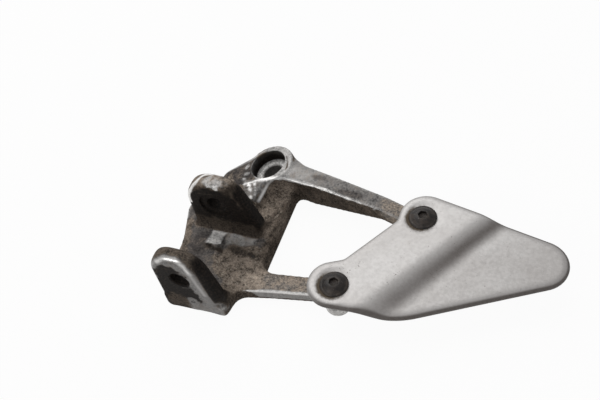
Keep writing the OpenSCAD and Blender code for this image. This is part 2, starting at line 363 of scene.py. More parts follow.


# The finish is laid on in strokes, each over the ones before it. What a stroke sets:
# film: paleness of the metal, and painted highlights along some edges; dirt: brown dirt;
# depth: how dark that dirt is, and painted shade in the strokes marked so; grease: black grease,
# and painted shade in the strokes marked so; polish: rubbed smooth.
castStrokes = [
    # the web: a smooth dark film on the left, granular dirt on the right and along the left edge,
    # and painted shade along the window's left wall
    stroke("outline", ((-45, -28), (-12, -28), (12, -42), (9, -47), (-5, -49), (-9, -54), (-13, -58), (-10, -65),
           (-2, -70), (-4, -78), (-34, -78)), "xy", 4, 1.6, z=(2.5, 10), dirt=0.25, film=0.05),
    stroke("line", ((-36, -42, 5), (-31, -60, 5), (-28, -72, 5)), 5.5, 4, 1.2, dirt=0.95, depth=0.6),
    stroke("spot", (-24, -54, 5), (5, 7, 3), 5, 1, film=0.02),
    stroke("spot", (8, -26, 5), (8, 14, 5), 6, depth=0.4),
    # dirt darkened with painted shade along the window's left wall
    stroke("line", ((12, -16, 5), (12, -52, 5)), 3, 5, 0.8, dirt=1, depth=0.86),
    stroke("spot", (3, -64, 5), (17, 9, 3), 8, 2, depth=0.44),
    stroke("spot", (13, -66, 5), (8, 4, 3), 5, 1, depth=0.12),
    stroke("outline", ((-12.5, -41), (3.4, -40.2), (5, -45.6), (-2, -47.6), (-8.6, -48.2)), "xy", 5, 2.4,
           z=(3, 7.2), dirt=0.42, film=0.6),
    stroke("outline", ((-20, -42.6), (-11.9, -42.6), (-13.1, -49.3), (-20.7, -50.6)), "xy", 1.4, 0.8, z=(3, 7),
           dirt=0.2, film=0.56),
    stroke("line", ((-20, -50.4, 5), (-15, -50.2, 5), (-13, -49.4, 5)), 0.8, 0.7, 0.4, dirt=0, film=0.65),
    stroke("line", ((-19.4, -51.8, 5), (-14, -53.2, 5), (-10.1, -54, 5)), 2.2, 2.6, 1.4, dirt=0.7, depth=0.95,
           grease=0.58),
    stroke("line", ((-6, -50.6, 5), (-2, -52, 5), (1.6, -51.6, 5)), 4.4, 3, 1.6, dirt=0.8, depth=0.8, grease=0.5),
    stroke("line", ((5, -51.6, 5), (7.4, -53.2, 5)), 2, 2, 1.2, dirt=0.7, depth=0.95, grease=0.5),
    stroke("line", ((-11.4, -42.2, 5.6), (-2.3, -42, 6.0)), 0.9, 1, 0.3, dirt=0.1, film=0.6),
    stroke("line", ((5.5, -37.5, 9), (8, -31, 6), (9, -24, 6)), 4, 6, depth=0.95),
    stroke("line", ((11.5, -22, 5), (9.5, -27, 5)), 0.5, 0.8, 0.2, depth=0.15),
    stroke("line", ((8, -18.5, 6), (6.5, -26, 5)), 0.5, 0.8, 0.2, depth=0.2),

    # the frame bolt's boss, its left flank and the pocket's edge, with painted shadow inside that edge
    stroke("spot", (2, 0, 15), (16, 15, 5), 3, facing=(-0.24, 0, 0.97), dirt=0.15, film=0.33, polish=0.2),
    stroke("outline", ((-40, -16), (-9.5, -15), (-8.2, -8), (-11.5, 0), (-12.5, 5), (-16, 12), (-40, 12)), "xy",
           1.8, 0.8, z=(4, 20), dirt=0.3, film=0.012, polish=0),
    stroke("line", ((-27, -4.2, 6.8), (-20, -0.2, 9), (-14.5, 3.4, 11.2), (-10.5, 8.2, 12), (-6.8, 11.4, 13.2)),
           1.4, 1.4, 0.3, dirt=0.1, film=0.4, polish=0.4),
    stroke("spot", (-13.8, -6.9, 11), (1.7, 1.5, 3), 1.6, 1.4, film=0.5, dirt=0),
    stroke("spot", (-14.4, -10.4, 11), (1.3, 1.1, 3), 1.2, 1.2, film=0.5, dirt=0),
    stroke("spot", (-16, -2, 10.5), (1.2, 1.6, 3), 1.2, 1.4, film=0.4, dirt=0),
    stroke("line", ((-24, -8, 7.5), (-21, -13, 8)), 2.5, 2, 1.2, dirt=0.8, depth=0.35),
    # painted shadow along the pocket's right inner edge
    stroke("line", ((5.6, 5.6, 16.2), (7.6, 2.4, 16.8), (8.9, -1.6, 16.9), (8.4, -4.2, 16.6)), 0.7, 0.7, 0.4,
           dirt=0.85, depth=0.75),

    # between the boss and the upper lug: a scuffed facet, a rib with a painted highlight and a brown bowl
    stroke("outline", ((-13, -11.5), (-3.2, -10.6), (-0.8, -15), (-3.4, -22.5), (-8.5, -21), (-12.5, -16.5)), "xy",
           1.8, 0.9, z=(6, 16), dirt=0.34, film=0.26),
    stroke("line", ((-12.5, -14.2, 11), (-8, -12.6, 12.2), (-5, -11.4, 13.2)), 1.1, 0.9, 0.3, film=1, dirt=0),
    stroke("line", ((-9, -14.6, 11.8), (-7.4, -17, 11), (-6.4, -20.4, 10)), 1.6, 1, 1.2, film=1, dirt=0),
    stroke("line", ((-6.4, -13.6, 12.6), (-4.6, -16, 11.6), (-4.2, -19, 10.4)), 1, 0.9, 0.9, film=0.9, dirt=0),
    stroke("line", ((-10.6, -16.2, 10.9), (-4.6, -14.6, 12)), 0.8, 0.8, 0.8, film=0.1, dirt=0.6),
    stroke("spot", (8, -12.5, 9.5), (8, 6, 6), 4, dirt=0.9, depth=0.42, film=0.12),
    # painted highlight along the rib's crest, over rubbed metal, in these two strokes
    stroke("line", ((3.4, -10.9, 15.2), (2.4, -11.6, 14.3), (0.6, -14, 12), (-0.6, -17.6, 10.2), (-1.7, -21, 8.5)),
           2.0, 1.8, film=0.5, dirt=0, polish=0.9),
    stroke("line", ((3, -11.2, 14.8), (0.8, -13.8, 12.3), (-0.5, -17.6, 10.3), (-1.5, -20.6, 8.8)), 0.8, 1.1,
           film=1, dirt=0, polish=1),

    # the upper arm: pale by the boss, duller along its middle, brown and flaking at its end,
    # with a painted highlight along its lower edge
    stroke("outline", ((11, 12), (11, -9), (90, -26), (90, 6)), "xy", 2, z=(9, 20), facing=(0, 0.1, 1), dirt=0.3,
           film=0.19, polish=0),
    stroke("spot", (13, 1, 14), (14, 11, 6), 9, facing=(0, 0.1, 1), film=0.38, polish=0.3),
    stroke("spot", (52, -10, 14), (24, 8, 5), 8, facing=(0, 0.1, 1), film=0.16),
    stroke("spot", (46, -9.4, 14), (7, 2.6, 4), 2.5, 1.8, facing=(0, 0, 1), film=0.05),
    stroke("spot", (27, -2.6, 14), (4, 1.8, 3), 2, 1.2, facing=(0, 0, 1), film=0.1),
    stroke("spot", (76, -15, 13), (13, 12, 6), 7, 2.5, dirt=0.55, depth=0.3, film=0.22),
    # painted highlight along the arm's lower edge, over rubbed metal, in these three strokes
    stroke("line", ((-4.5, -11.2, 13.6), (0.9, -10, 15), (6.2, -8.9, 15.6), (13.1, -8.1, 15), (22, -8.1, 14.2),
           (31, -9.4, 14.2), (41.6, -11.7, 14.2), (54, -14.4, 14)), 1.5, 1.6, 0.2, film=0.6, dirt=0, polish=1),
    stroke("line", ((-3.5, -11, 13.8), (0.9, -10.2, 15), (6.2, -9.1, 15.4), (13.1, -8.4, 14.8), (22, -8.4, 14),
           (31, -9.7, 14), (41.6, -12, 14), (50, -13.8, 14), (58, -15.8, 13.8)), 1.9, 1.2, 0.6, film=1, dirt=0),
    stroke("line", ((61, -16.8, 13.4), (64.5, -17.8, 13.2)), 2.2, 1.2, 1.4, film=0.9, dirt=0, depth=0.3),

    # the upper lug: black round the pin, a painted highlight on its edge, pale scuffs on its top,
    # and painted shadow at its foot and on its right flank
    stroke("outline", ((-31.5, 10), (-30.5, 30), (-22.8, 36.4), (-16, 39), (-9, 38.6), (-5, 37), (8, 10)), "xz", 4,
           1.4, y=(-43, -38.6), dirt=0.5, grease=0.97),
    # dirt and painted shadow at the foot of the lug's inner face
    stroke("outline", ((-32, 3), (-32, 14), (8, 14), (8, 4), (-8, 4)), "xz", 5, 1, y=(-42.4, -38),
           facing=(0, -1, 0.1), grease=0.4, dirt=0.95, depth=0.86),
    stroke("line", ((-22, -40, 33.5), (-16, -40, 34), (-9, -40, 31.5)), 1.4, 1.8, 1, grease=0.55, dirt=1,
           depth=0.75),
    stroke("line", ((-24, -40, 18), (-17, -40, 13.5), (-9, -40, 15)), 1.2, 2.4, 1.4, grease=0.6, dirt=1, depth=0.6),
    # painted shadow on the lug's right flank
    stroke("spot", (3, -36, 26), (9, 9, 18), 4, facing=(1, 0, 0.35), grease=1),
    stroke("spot", (-12, -36.6, 42), (9, 4, 3), 4, 2.6, dirt=0.36, depth=0.35, film=0.5, grease=0),
    stroke("line", ((-15, -39.4, 40.2), (-11.4, -39.9, 39.8)), 2.2, 1.2, 1.2, film=0.8, dirt=0, grease=0),
    stroke("spot", (-8, -33.5, 41.5), (4, 2.6, 2), 2, 1.4, dirt=0.7, depth=0.35),
    stroke("line", ((-7, -39.9, 37.6), (-5, -38.6, 39), (-3.4, -36.6, 39.4)), 4.2, 4, 0.8, dirt=1, depth=0.92,
           grease=0.5),
    # painted highlight along the lug's outer top edge, over rubbed metal, in these two strokes
    stroke("line", ((-29.7, -40, 25.5), (-28.8, -39.9, 31), (-26.6, -39.8, 35), (-23.1, -37.2, 39.6),
           (-20, -33.4, 41), (-14, -31.6, 42), (-9, -31.4, 41.6)), 2.4, 1.7, 0.4, film=1, dirt=0, grease=0,
           polish=0.7),
    stroke("spot", (-29.2, -40, 24.4), (1.2, 2, 1.3), 0.8, 0.6, film=0.8, dirt=0, grease=0),

    # the lower lug: a dark rim, a rubbed rounding with a painted highlight round a black face,
    # a painted highlight at its pin hole and bare metal under it
    stroke("outline", ((-33, 20), (-29, 42), (-6, 43), (8, 30), (8, -4), (-4, -4), (-4, 20)), "xz", 2,
           y=(-86, -75.5), dirt=0.8, depth=0.78, grease=0.3, film=0.08),
    stroke("spot", (0, -80, 24), (9, 9, 19), 6, 1, grease=0.95),
    stroke("outline", ((-40, -6), (-40, 40), (-4, 40), (0, 6), (8, 6), (8, -6)), "xz", 2, y=(-90, -84.9),
           facing=(0, -1, 0), dirt=0.28, film=0.2, grease=0),
    stroke("outline", ((-29, 14), (-27.2, 30), (-24.5, 33.8), (-20, 35.8), (-15, 35.2), (-11.6, 30), (-10, 21),
           (-7.8, 13), (-6.8, 7.4), (-9.4, 6.8), (-12, 9.6), (-17, 8.4), (-21, 5.4), (-25, -1), (-28, 0)), "xz",
           3.6, 2.2, y=(-90, -76), facing=(0, -1, 0), dirt=0.8, depth=1, grease=1.05),
    stroke("spot", (-21, -86, 4), (6, 3, 8), 5, 1.6, facing=(0, -1, 0), dirt=1, depth=0.8, grease=0.42),
    # painted highlight on the pin hole's lower right edge, over grease
    stroke("line", ((-14.6, -85.5, 18), (-11.6, -85.5, 18.4), (-9.2, -85.5, 20.4)), 1, 1.6, 0.6, dirt=0.4,
           film=0.14, grease=0.45),
    stroke("line", ((-26.5, -85.5, 27), (-24, -85.5, 31.6), (-18, -85.5, 33.6)), 1.2, 2, 1.2, dirt=1, depth=0.8,
           grease=0.5),
    stroke("line", ((-27, -85, 32), (-23.6, -85, 37.6), (-19.3, -84, 40.4), (-13.6, -83.8, 40.8), (-9, -84.6, 38.2),
           (-7, -85.4, 32), (-5.2, -85.5, 23), (-3.2, -85.5, 14), (-1, -85.4, 7)), 3.4, 3.4, 0.2, film=0.13,
           dirt=0.1, grease=0, polish=0.9),
    # painted highlight along the middle of the rubbed rounding, in these two strokes
    stroke("line", ((-23.4, -85.2, 37.4), (-19.6, -84.2, 40.4), (-13.6, -83.8, 41), (-9, -84.7, 38.4),
           (-7, -85.4, 33)), 1.6, 2.4, film=0.9),
    stroke("line", ((-7, -85.4, 33), (-5.4, -85.5, 24), (-3.4, -85.5, 15)), 1.2, 2.6, film=0.4),
    stroke("line", ((2.2, -85, 8), (4.6, -83.6, 2), (6.4, -79, 1)), 2.5, 2.4, 0.8, dirt=0.3, film=0.18, grease=0),
    stroke("spot", (8.5, -77, 1), (5, 5, 5), 3, 0.8, dirt=1, depth=0.82),

    # the lower arm: granular on top, smooth in front under a painted highlight along its edge
    stroke("outline", ((16, -60), (16, -76), (60, -76), (60, -55)), "xy", 5, z=(1, 8), facing=(0, 0, 1), dirt=0.6,
           depth=0.24, film=0.3),
    stroke("outline", ((13, 4.4), (60, 4.4), (60, -1.2), (17, -1.2)), "xz", 1.6, 0.4, y=(-76, -62),
           facing=(0, -1, 0), dirt=0.2, film=0.22, polish=0.5),
    # painted highlight along the ridge, over rubbed metal, in these two strokes
    stroke("line", ((9, -74.4, 4.8), (14, -72.2, 4.6), (23, -70, 4.6), (41.4, -66.8, 4.4), (48, -65.7, 4.4)), 1.5,
           1.6, film=0.6, dirt=0, polish=1),
    stroke("line", ((10, -73.3, 5), (14, -72, 4.8), (23, -69.9, 4.7), (41.4, -66.7, 4.5)), 1.6, 1.3, 0.2, film=1,
           dirt=0),
    stroke("spot", (59, -71, 1), (9, 4, 6), 2, dirt=0.1, film=0.5, grease=0),
]


def ramp(value, low, high):
    return np.clip((value - low) / (high - low), 0, 1)


def lineReach(places, points, width):
    # how far each point lies inside a line of the given width, in mm
    far = np.full(len(places), 1e9)
    for start, end in zip(points, points[1:]):
        start, end = np.array(start, float), np.array(end, float)
        run = end - start
        along = np.clip((places - start) @ run / (run @ run), 0, 1)
        far = np.minimum(far, np.linalg.norm(places - start - along[:, None] * run, axis=1))
    return width / 2 - far


def outlineReach(across, along, corners):
    # the same for a closed outline, seen square to its plane
    inside, far = np.zeros(len(across), bool), np.full(len(across), 1e9)
    for (ax, ay), (bx, by) in zip(corners, corners[1:] + corners[:1]):
        dx, dy = bx - ax, by - ay
        t = np.clip(((across - ax) * dx + (along - ay) * dy) / (dx * dx + dy * dy), 0, 1)
        far = np.minimum(far, np.hypot(across - ax - t * dx, along - ay - t * dy))
        if ay != by:
            inside ^= ((ay > along) != (by > along)) & (across < ax + dx * (along - ay) / dy)
    return np.where(inside, far, -far)


def strokeMask(places, normals, waver, row):
    if row["shape"] == "line":
        reach = lineReach(places, row["at"], row["size"])
    elif row["shape"] == "outline":
        a, b = ("xyz".index(axis) for axis in row["size"])
        reach = outlineReach(places[:, a], places[:, b], row["at"])
    else:
        size = np.array(row["size"], float)
        away = np.sqrt((((places - np.array(row["at"], float)) / size) ** 2).sum(1))
        reach = (1 - away) * np.sort(size)[1]
    reach = reach + row["waver"] * waver
    mask = np.clip(reach / row["soft"] + 0.5, 0, 1)
    mask = mask * mask * (3 - 2 * mask)
    for i, limit in enumerate(row["limits"]):
        if limit:
            low, high = limit
            mask = mask * ramp(places[:, i], low - 0.5, low + 0.5) * ramp(-places[:, i], -high - 0.5, 0.5 - high)
    if row["facing"]:
        mask = mask * np.clip((normals @ np.array(row["facing"], float)) * 2.5 - 0.5, 0, 1)
    return mask


def paintCasting(piece, p, c):
    mesh = piece.data
    places, normals = meshArrays(mesh)
    bump = bumpiness(mesh, p["passes"])
    lumps, small = p["waverLumps"]
    waver = wobble(places, lumps, 1) + 0.5 * wobble(places, small, 2)
    wide = wobble(places, p["wideLumps"], 3)
    places = places / mm
    x, y, z = places.T
    layers = {"film": p["restFilm"] + p["filmSwing"] * wide, "dirt": np.ones(len(x)),
              "depth": p["restDepth"] + p["depthSwing"] * wide,
              "grease": np.zeros(len(x)), "polish": np.zeros(len(x))}
    # painted shade: walls are darker than what faces up
    layers["depth"] = layers["depth"] + p["wallShade"] * (1 - ramp(normals[:, 2], *p["wallSlope"]))
    for row in castStrokes:
        mask = strokeMask(places, normals, waver, row)
        for name, value in row["sets"].items():
            layers[name] = layers[name] + (value - layers[name]) * mask
    # dirt and painted shade darken the hollows, and edges are rubbed bright
    hollow = ramp(bump, *p["hollow"]) * (1 - layers["polish"])
    layers["dirt"] = np.maximum(layers["dirt"], p["hollowDirt"] * hollow)
    layers["depth"] = layers["depth"] + p["hollowShade"] * hollow
    worn = np.clip(-bump / p["edge"] - p["edgeFrom"], 0, 1) * np.clip(0.8 + 0.6 * waver, 0, 1)
    wear = np.clip(p["restWear"] + p["cleanWear"] * (1 - layers["dirt"]), 0, 1)
    worn = worn * wear * (1 - layers["grease"])
    layers["film"] = layers["film"] + (p["wornFilm"] - layers["film"]) * worn
    layers["dirt"] = layers["dirt"] * (1 - worn)

    # inside the pocket: painted shade on the walls, and a pale floor with rings of painted highlight on it
    lean = math.radians(c["boltLean"])
    height = z * math.cos(lean) - x * math.sin(lean)
    radius = np.sqrt(np.maximum((places ** 2).sum(1) - height ** 2, 0))
    wall, pocket, top = c["boltWall"], c["pocket"], c["bossTop"]
    floor = ramp(-radius, 0.25 - pocket, 0.65 - pocket) * ramp(-height, -wall - 0.9, -wall - 0.5)
    floor = floor * ramp(height, wall - 1.0, wall - 0.6)
    within = ramp(-radius, -pocket - 0.2, -pocket - 0.05) * ramp(-height, 0.3 - top, 0.9 - top) * ramp(height, -1, 0)
    ring = sum(strength * np.exp(-((radius - at) / width) ** 2) for at, width, strength in p["floorHighlights"])
    pocketShade = within * (1 - floor) * (0.45 + 0.5 * ramp(radius, 7, 9))
    layers["grease"] = np.maximum(layers["grease"] * (1 - floor), pocketShade)
    layers["dirt"] = layers["dirt"] * (1 - within) + p["pocketDirt"] * within
    pale = p["pocketFilm"] + floor * (p["floorFilm"] + p["ringHighlight"] * ring)
    layers["film"] = layers["film"] * (1 - within) + within * pale
    # painted shade: the footrest pin's holes are black inside
    away, hole = np.hypot(x - c["pinX"], z - c["pinZ"]), c["pinHole"]
    boreShade = ramp(-away, -hole - 1.2, -hole - 0.4) * ramp(-y, -c["upperLug"][1] - 1, 0.5 - c["upperLug"][1])
    layers["grease"] = np.maximum(layers["grease"], boreShade)
    for name, values in layers.items():
        setPaint(mesh, name, values)


def castMaterial(m):
    material, tree, shader = newMaterial("cast_aluminium")
    place = addNode(tree, "ShaderNodeTexCoord").outputs["Object"]
    names = ("film", "dirt", "depth", "grease", "polish")
    film, dirt, depth, grease, polish = (paint(tree, name) for name in names)
    blotch = grain(tree, place, m["blotchScale"], 4, 0.6)
    fine = grain(tree, place, m["fineScale"], 4, 0.75)
    pits = grain(tree, place, m["pitScale"], 2, 0.5)
    matt = sums(tree, "MULTIPLY_ADD", polish, -0.9, 1.0)

    def swung(amount, swings):
        # adds the blotches and the fine grain to an amount, each about its own middle
        for texture, swing in zip((blotch, fine), swings):
            amount = sums(tree, "ADD", amount, sums(tree, "MULTIPLY_ADD", texture, swing, -swing / 2))
        return amount

    # metal, from a dark film to bare and bright, with painted highlights along some edges
    metal = blendColour(tree, film, m["metalDark"], m["metalPale"])
    mottle = sums(tree, "MULTIPLY_ADD", swung(0.0, m["metalSwings"]), matt, 1.0)
    metal = scaled(tree, metal, sums(tree, "MAXIMUM", mottle, 0.3))
    pitted = sums(tree, "MULTIPLY", stretch(tree, pits, *m["pitted"]), matt)
    metal = blendColour(tree, pitted, metal, m["stain"])
    # granular brown dirt, its darkness also holding painted shade on walls, in hollows and in some strokes
    brown = blendColour(tree, depth, m["dirtPale"], m["dirtDark"])
    brown = blendColour(tree, stretch(tree, blotch, *m["rusty"]), brown, scaled(tree, brown, m["rust"]))
    brown = scaled(tree, brown, sums(tree, "MAXIMUM", swung(1.02, m["dirtSwings"]), 0.22))
    dirtMask = stretch(tree, swung(dirt, m["dirtEdge"]), *m["dirty"])
    colour = blendColour(tree, dirtMask, metal, brown)
    # pale grains of sand in it
    grains = sums(tree, "MULTIPLY", stretch(tree, pits, *m["sandy"]), dirtMask)
    grains = sums(tree, "MULTIPLY", grains, sums(tree, "SUBTRACT", 1.05, depth, clamp=True))
    colour = blendColour(tree, grains, colour, m["sand"])
    # grease over all, with painted shade in the pin holes, in the pocket and on shaded lug sides
    black = blendColour(tree, stretch(tree, fine, *m["browned"]), m["grease"], m["greaseBrown"])
    greaseMask = stretch(tree, swung(grease, m["greaseEdge"]), *m["greasy"])
    colour = blendColour(tree, greaseMask, colour, black)
    plug(tree, shader.inputs["Base Color"], colour)
    clear = sums(tree, "SUBTRACT", 1.0, sums(tree, "MAXIMUM", dirtMask, greaseMask), clamp=True)
    plug(tree, shader.inputs["Metallic"], sums(tree, "MULTIPLY", clear, m["metallic"]))
    rough = blendValue(tree, polish, sums(tree, "MULTIPLY_ADD", fine, 0.25, 0.34), m["polishRough"])
    rough = blendValue(tree, dirtMask, rough, m["dirtRough"])
    plug(tree, shader.inputs["Roughness"], blendValue(tree, greaseMask, rough, m["greaseRough"]))
    shader.inputs["Specular IOR Level"].default_value = m["gloss"]
    relief = sums(tree, "MULTIPLY", sums(tree, "ADD", fine, sums(tree, "MULTIPLY", pits, 0.5)), matt)
    addRelief(tree, shader, relief, m["relief"], 0.3)
    return material


castFinish = {
    "metalDark": (0.034, 0.0285, 0.026, 1), "metalPale": (0.80, 0.785, 0.76, 1), "stain": (0.05, 0.041, 0.035, 1),
    "dirtDark": (0.030, 0.0215, 0.0155, 1), "dirtPale": (0.295, 0.245, 0.198, 1), "sand": (0.46, 0.41, 0.345, 1),
    "rust": 0.75,                    # how dark the blotches in the dirt are
    "grease": (0.0048, 0.0040, 0.0035, 1), "greaseBrown": (0.031, 0.023, 0.0175, 1),
    "blotchScale": 240, "fineScale": 900, "pitScale": 1500,
    # where each finish sets in and where it is full, then how little and how much of it shows
    "pitted": (0.40, 0.28, 0, 0.6), "rusty": (0.4, 0.7, 0, 0.5), "sandy": (0.58, 0.70, 0, 0.9),
    "browned": (0.40, 0.75), "dirty": (0.2, 0.75), "greasy": (0.15, 0.85),
    # how far the blotches and the fine grain swing each finish
    "metalSwings": (2.0, 3.4), "dirtSwings": (3.2, 4.4), "dirtEdge": (0.9, 0.6), "greaseEdge": (0.5, 0.4),
    "polishRough": 0.27, "dirtRough": 0.85, "greaseRough": 0.7,
    "metallic": 0.6, "gloss": 0.10, "relief": 0.45,
}

castMetal = castMaterial(castFinish)
casting = buildCasting(castingForm)
paintCasting(casting, castingPaint, castingForm)
casting.data.materials.clear()
casting.data.materials.append(castMetal)
casting.data.shade_smooth()
casting.data.set_sharp_from_angle(angle=math.radians(38))
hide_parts("hanger_casting")
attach(casting, "root")
print("casting:", len(casting.data.polygons), "faces")


# the heel guard, skinned by Geometry Nodes from its rounded outline

guardForm = {
    "corners": (                     # x, y and corner radius
        (43.3, -78.1, 12.5), (90.1, -74.2, 43), (185.0, -21.6, 13.5), (75.3, -0.4, 13),
        (75.3, -21.6, 5), (56.8, -49.9, 6), (43.3, -56.5, 12),
    ),
    "middle": (90.0, -42.0),
    "backZ": 15.04, "thickness": 4.0, "edge": 4.2, "backEdge": 1.2,
    "around": 420, "rimRows": 12, "faceRows": 60,
    "creaseFoot": (77.9, -72.7), "creaseAngle": 56.3, "creaseWidth": 15.0, "creaseDrop": 3.0,
    "dishes": castingForm["screws"], "dishRadius": 8.5, "dishDepth": 0.8, "dishSoft": 2.2,
}


def guardOutline(g):
    mesh = bpy.data.meshes.new("guardOutline")
    places = [(x * mm, y * mm, 0) for x, y, radius in g["corners"]]
    count = len(places)
    mesh.from_pydata(places, [(i, (i + 1) % count) for i in range(count)], [])
    radii = mesh.attributes.new("cornerRadius", "FLOAT", "POINT")
    radii.data.foreach_set("value", [radius * mm for x, y, radius in g["corners"]])
    return mesh


def guardTree(g):
    sizes = {"Thickness": "thickness", "Edge radius": "edge", "Crease drop": "creaseDrop",
             "Crease width": "creaseWidth", "Dish depth": "dishDepth", "Dish radius": "dishRadius"}
    tree, given = startTree("heelGuardSkin", [(name, "Float", g[key] * mm) for name, key in sizes.items()])
    half = sums(tree, "MULTIPLY", given["Thickness"], 0.5)

    # the outline as one closed curve with rounded corners
    line = addNode(tree, "GeometryNodeMeshToCurve", {0: given["Geometry"]}).outputs[0]
    radius = addNode(tree, "GeometryNodeInputNamedAttribute", {"Name": "cornerRadius"}, data_type="FLOAT").outputs[0]
    fillet = addNode(tree, "GeometryNodeFilletCurve", {"Curve": line, "Count": 16, "Radius": radius}, mode="POLY")
    outline = fillet.outputs[0]

    # a strip of quads: along X it runs round the outline, along Y from the back's middle to the front's
    rows = 2 * (g["rimRows"] + g["faceRows"]) + 1
    strip = {"Size X": 1.0, "Size Y": 1.0, "Vertices X": g["around"] + 1, "Vertices Y": rows}
    grid = addNode(tree, "GeometryNodeMeshGrid", strip).outputs[0]
    at = addNode(tree, "ShaderNodeSeparateXYZ", {0: addNode(tree, "GeometryNodeInputPosition").outputs[0]})
    turn = sums(tree, "ADD", at.outputs[0], 0.5, clamp=True)
    side = sums(tree, "MULTIPLY", at.outputs[1], 2.0)
    away = sums(tree, "ABSOLUTE", side)
    sample = addNode(tree, "GeometryNodeSampleCurve", {"Curves": outline, "Factor": turn},
                     mode="FACTOR", use_all_curves=True)
    rim = sample.outputs["Position"]
    inward = vectors(tree, "CROSS_PRODUCT", (0, 0, 1), sample.outputs["Tangent"])

    # the edge is half an ellipse, and from its ends the faces run straight to the middle
    share = g["rimRows"] / (g["rimRows"] + g["faceRows"])
    angle = sums(tree, "MULTIPLY", sums(tree, "DIVIDE", away, share, clamp=True), math.pi / 2)
    onFront = sums(tree, "GREATER_THAN", side, 0.0)
    reach = blendValue(tree, onFront, g["backEdge"] * mm, given["Edge radius"])
    inset = sums(tree, "MULTIPLY", sums(tree, "SUBTRACT", 1.0, sums(tree, "COSINE", angle)), reach)
    lift = sums(tree, "MULTIPLY", sums(tree, "MULTIPLY", sums(tree, "SINE", angle), half),
                sums(tree, "SIGN", side))
    flat = vectors(tree, "ADD", rim, scaled(tree, inward, inset))
    run = stretch(tree, away, share, 1.0, kind="LINEAR")
    middle = (g["middle"][0] * mm, g["middle"][1] * mm, 0)
    mix = addNode(tree, "ShaderNodeMix", {0: run, 4: flat, 5: middle}, data_type="VECTOR")
    flat = mix.outputs[1]

    # the crease: a step across a slanting line
    slant = math.radians(g["creaseAngle"])
    foot = tuple(v * mm for v in g["creaseFoot"]) + (0,)
    off = vectors(tree, "SUBTRACT", flat, foot)
    across = vectors(tree, "DOT_PRODUCT", off, (math.sin(slant), -math.cos(slant), 0), result=1)
    width = given["Crease width"]
    phase = sums(tree, "ADD", sums(tree, "DIVIDE", across, width), 0.5, clamp=True)
    wave = sums(tree, "SUBTRACT", 1.0, sums(tree, "COSINE", sums(tree, "MULTIPLY", phase, math.pi)))
    drop = sums(tree, "MULTIPLY", sums(tree, "MULTIPLY", wave, 0.5), given["Crease drop"])
    height = sums(tree, "SUBTRACT", sums(tree, "ADD", lift, half), drop)

    # the dished seats, on the front face alone
    for x, y in g["dishes"]:
        far = vectors(tree, "DISTANCE", flat, (x * mm, y * mm, 0), result=1)
        outer = sums(tree, "ADD", given["Dish radius"], g["dishSoft"] * mm)
        inner = sums(tree, "SUBTRACT", given["Dish radius"], g["dishSoft"] * mm)
        depth = stretch(tree, far, inner, outer, given["Dish depth"], 0.0)
        height = sums(tree, "SUBTRACT", height, sums(tree, "MULTIPLY", depth, onFront))
    height = sums(tree, "ADD", height, g["backZ"] * mm)
    parts = addNode(tree, "ShaderNodeSeparateXYZ", {0: flat}).outputs
    place = addNode(tree, "ShaderNodeCombineXYZ", {0: parts[0], 1: parts[1], 2: height}).outputs[0]
    skin = addNode(tree, "GeometryNodeSetPosition", {"Geometry": grid, "Position": place}).outputs[0]
    closed = addNode(tree, "GeometryNodeMergeByDistance", {0: skin, "Distance": 0.002 * mm}).outputs[0]
    endTree(tree, closed, given["Material"])
    return tree


def runTree(piece, tree, **values):
    modifier = piece.modifiers.new(tree.name, "NODES")
    modifier.node_group = tree
    for item in tree.interface.items_tree:
        if item.item_type == "SOCKET" and item.in_out == "INPUT" and item.name in values:
            modifier[item.identifier] = values[item.name]
    settle(piece)


def outwards(mesh):
    # turns every face of a closed mesh to point out of it
    skin = bmesh.new()
    skin.from_mesh(mesh)
    bmesh.ops.recalc_face_normals(skin, faces=skin.faces)
    skin.to_mesh(mesh)
    skin.free()


def guardMaterial(m):
    material, tree, shader = newMaterial("guard_aluminium")
    place = addNode(tree, "ShaderNodeTexCoord").outputs["Object"]
    soil, shadeAndNicks, speckle = (paint(tree, name) for name in ("soil", "shadeAndNicks", "speckle"))
    cloud = grain(tree, place, m["cloudScale"], 3, 0.5)
    fine = grain(tree, place, m["fineScale"], 4, 0.6)
    specks = grain(tree, place, m["speckScale"], 2, 0.4)
    colour = blendColour(tree, stretch(tree, cloud, *m["warmed"]), m["satin"], m["satinWarm"])
    colour = blendColour(tree, stretch(tree, fine, *m["hazy"]), colour, m["haze"])
    # painted shade in the crease, round the edge and towards the tip, with the rim's nicks, in a dull brown
    swing = m["shadeSwing"]
    shadeAndNickMask = sums(tree, "MULTIPLY_ADD", fine, swing, sums(tree, "ADD", shadeAndNicks, -swing / 2))
    shadeAndNickMask = sums(tree, "MULTIPLY", shadeAndNickMask, stretch(tree, shadeAndNicks, 0.0, 0.1), clamp=True)
    colour = blendColour(tree, shadeAndNickMask, colour, m["shadeAndNicks"])
    # dark pits, few where it is clean
    seen = sums(tree, "MULTIPLY_ADD", speckle, 0.09, specks)
    colour = blendColour(tree, stretch(tree, seen, *m["specked"]), colour, m["speck"])
    swing = m["soilSwing"]
    ring = sums(tree, "ADD", soil, sums(tree, "MULTIPLY_ADD", fine, swing, -swing / 2))
    ringMask = sums(tree, "MULTIPLY", stretch(tree, ring, 0.1, 0.9), stretch(tree, soil, 0, 0.15), clamp=True)
    colour = blendColour(tree, ringMask, colour, m["soil"])
    plug(tree, shader.inputs["Base Color"], colour)
    dusty = sums(tree, "MAXIMUM", ringMask, sums(tree, "MULTIPLY", shadeAndNickMask, 0.6))
    plug(tree, shader.inputs["Metallic"], blendValue(tree, dusty, m["metallic"], 0.1))
    plug(tree, shader.inputs["Roughness"], blendValue(tree, dusty, stretch(tree, fine, 0.3, 0.7, 0.40, 0.5), 0.75))
    shader.inputs["Specular IOR Level"].default_value = m["gloss"]
    addRelief(tree, shader, fine, 0.12, 0.08)
    return material


